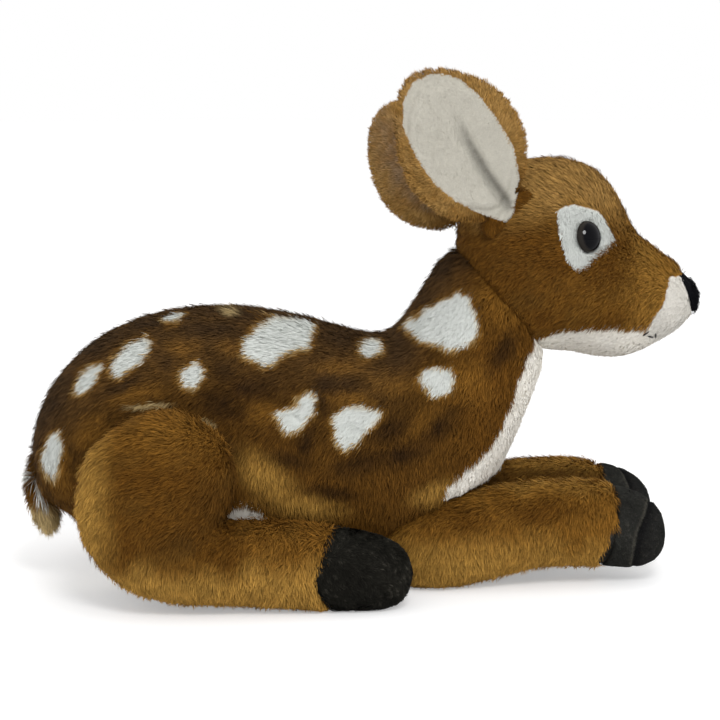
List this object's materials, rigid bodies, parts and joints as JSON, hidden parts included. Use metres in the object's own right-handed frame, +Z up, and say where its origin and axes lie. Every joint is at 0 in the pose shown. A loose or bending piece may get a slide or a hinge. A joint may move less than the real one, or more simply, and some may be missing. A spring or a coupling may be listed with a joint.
{
  "type": "plush toy deer",
  "caption": "Stuffed fawn lying with its legs folded forward, with a turning head, cupped ears, flexing legs and tail, glossy eyes and dark hooves, in spotted brown and white pile",
  "frame": {"origin": "on the floor, under the middle of the bounding box, in the body's middle plane", "axes": "+X towards the nose, +Y to the fawn's left, +Z up"},
  "size_m": [0.3002, 0.1552, 0.2246],
  "materials": {
    "brown_pile": "combed long brown pile",
    "tan_pile": "combed tan pile, lighter at its lower edges",
    "white_pile": "short dense white pile",
    "black_velour": "very short black velour",
    "eye_plastic": "glossy black",
    "washer_plastic": "plain white moulding",
    "stuffing_fibre": "loose white fibre fill"
  },
  "bodies": {
    "body": {"body_panel_right": "brown_pile", "body_panel_left": "brown_pile", "chest_panel": "white_pile", "belly_panel": "white_pile", "body_stuffing": "stuffing_fibre"},
    "head": {"head_panel_right": "brown_pile", "head_panel_left": "brown_pile", "eye_patch_right": "white_pile", "eye_patch_left": "white_pile", "eye_right": "eye_plastic", "eye_left": "eye_plastic", "eye_washer_right": "washer_plastic", "eye_washer_left": "washer_plastic", "muzzle_panel": "white_pile", "chin_panel": "white_pile", "nose": "black_velour", "head_stuffing": "stuffing_fibre"},
    "ear_right": {"ear_back_right": "brown_pile", "ear_lining_right": "white_pile"},
    "ear_left": {"ear_back_left": "brown_pile", "ear_lining_left": "white_pile"},
    "foreleg_right": {"foreleg_cover_right": "tan_pile", "foreleg_stuffing_right": "stuffing_fibre", "fore_hoof_right": "black_velour"},
    "foreleg_left": {"foreleg_cover_left": "tan_pile", "foreleg_stuffing_left": "stuffing_fibre", "fore_hoof_left": "black_velour"},
    "hind_leg_right": {"hind_leg_cover_right": "tan_pile", "hind_leg_stuffing_right": "stuffing_fibre", "hind_hoof_right": "black_velour"},
    "hind_leg_left": {"hind_leg_cover_left": "tan_pile", "hind_leg_stuffing_left": "stuffing_fibre", "hind_hoof_left": "black_velour"},
    "tail": {"tail_top": "brown_pile", "tail_underside": "white_pile"}
  },
  "joints": [
    {"name": "head_turn", "type": "hinge", "parent": "body", "child": "head", "pos_m": [0.06033, 0, 0.1267], "axis": [0.7486, 0, 0.6631], "range_deg": [-15, 15], "stiffness_Nm_per_rad": 0.4},
    {"name": "ear_right_flex", "type": "hinge", "parent": "head", "child": "ear_right", "pos_m": [0.0584, -0.02188, 0.16434], "axis": [0.7509, 0.2017, 0.6288], "range_deg": [-15, 40], "stiffness_Nm_per_rad": 0.03},
    {"name": "ear_left_flex", "type": "hinge", "parent": "head", "child": "ear_left", "pos_m": [0.05402, 0.02164, 0.15944], "axis": [-0.6799, 0.1112, -0.7249], "range_deg": [-15, 40], "stiffness_Nm_per_rad": 0.03},
    {"name": "foreleg_right_flex", "type": "hinge", "parent": "body", "child": "foreleg_right", "pos_m": [0.01895, -0.025, 0.01904], "axis": [0, -1, 0], "range_deg": [-15, 4], "stiffness_Nm_per_rad": 0.3},
    {"name": "foreleg_left_flex", "type": "hinge", "parent": "body", "child": "foreleg_left", "pos_m": [0.01895, 0.025, 0.01904], "axis": [0, -1, 0], "range_deg": [-15, 4], "stiffness_Nm_per_rad": 0.3},
    {"name": "hind_leg_right_flex", "type": "hinge", "parent": "body", "child": "hind_leg_right", "pos_m": [-0.09141, -0.0465, 0.06142], "axis": [0, -1, 0], "range_deg": [-8, 20], "stiffness_Nm_per_rad": 0.3},
    {"name": "hind_leg_left_flex", "type": "hinge", "parent": "body", "child": "hind_leg_left", "pos_m": [-0.09141, 0.0465, 0.06142], "axis": [0, -1, 0], "range_deg": [-8, 20], "stiffness_Nm_per_rad": 0.3},
    {"name": "tail_flex", "type": "hinge", "parent": "body", "child": "tail", "pos_m": [-0.14293, 0, 0.05612], "axis": [0, 1, 0], "range_deg": [0, 30], "stiffness_Nm_per_rad": 0.005}
  ]
}
